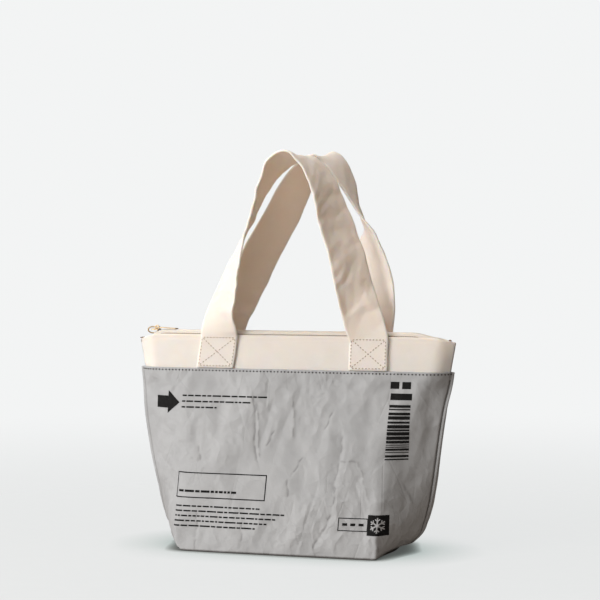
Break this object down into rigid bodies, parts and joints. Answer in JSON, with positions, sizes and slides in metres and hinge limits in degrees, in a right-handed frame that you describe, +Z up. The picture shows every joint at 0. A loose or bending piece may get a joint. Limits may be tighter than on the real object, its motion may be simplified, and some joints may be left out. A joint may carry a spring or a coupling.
{
  "type": "insulated lunch bag",
  "caption": "Small upright zip-top lunch tote with a tapered coated-paper body, boxed base, cloth band and arched strap handles.",
  "frame": {"origin": "centre of the flat base, on the surface the bag stands on", "axes": "+Z up, -Y out of the printed front, +X to the right seen from the front"},
  "size_m": [0.3032, 0.116, 0.3621],
  "materials": {
    "coated_paper": "satin, creased",
    "canvas": "matt plain weave",
    "zip_tape": "matt tape",
    "zip_teeth": "matt",
    "brass": "polished"
  },
  "bodies": {
    "bag": {"body_shell": "coated_paper", "front_band": "canvas", "back_band": "canvas", "zip_tape_front": "zip_tape", "zip_tape_back": "zip_tape", "zip_teeth": "zip_teeth", "zip_slider": "brass", "handle_front": "canvas", "handle_back": "canvas"},
    "tab": {"pull_tab": "brass"}
  },
  "joints": [
    {"name": "pull_tab_swing", "type": "hinge", "parent": "bag", "child": "tab", "pos_m": [-0.135, 0, 0.19896], "axis": [0, -1, 0], "range_deg": [0, 165]}
  ]
}
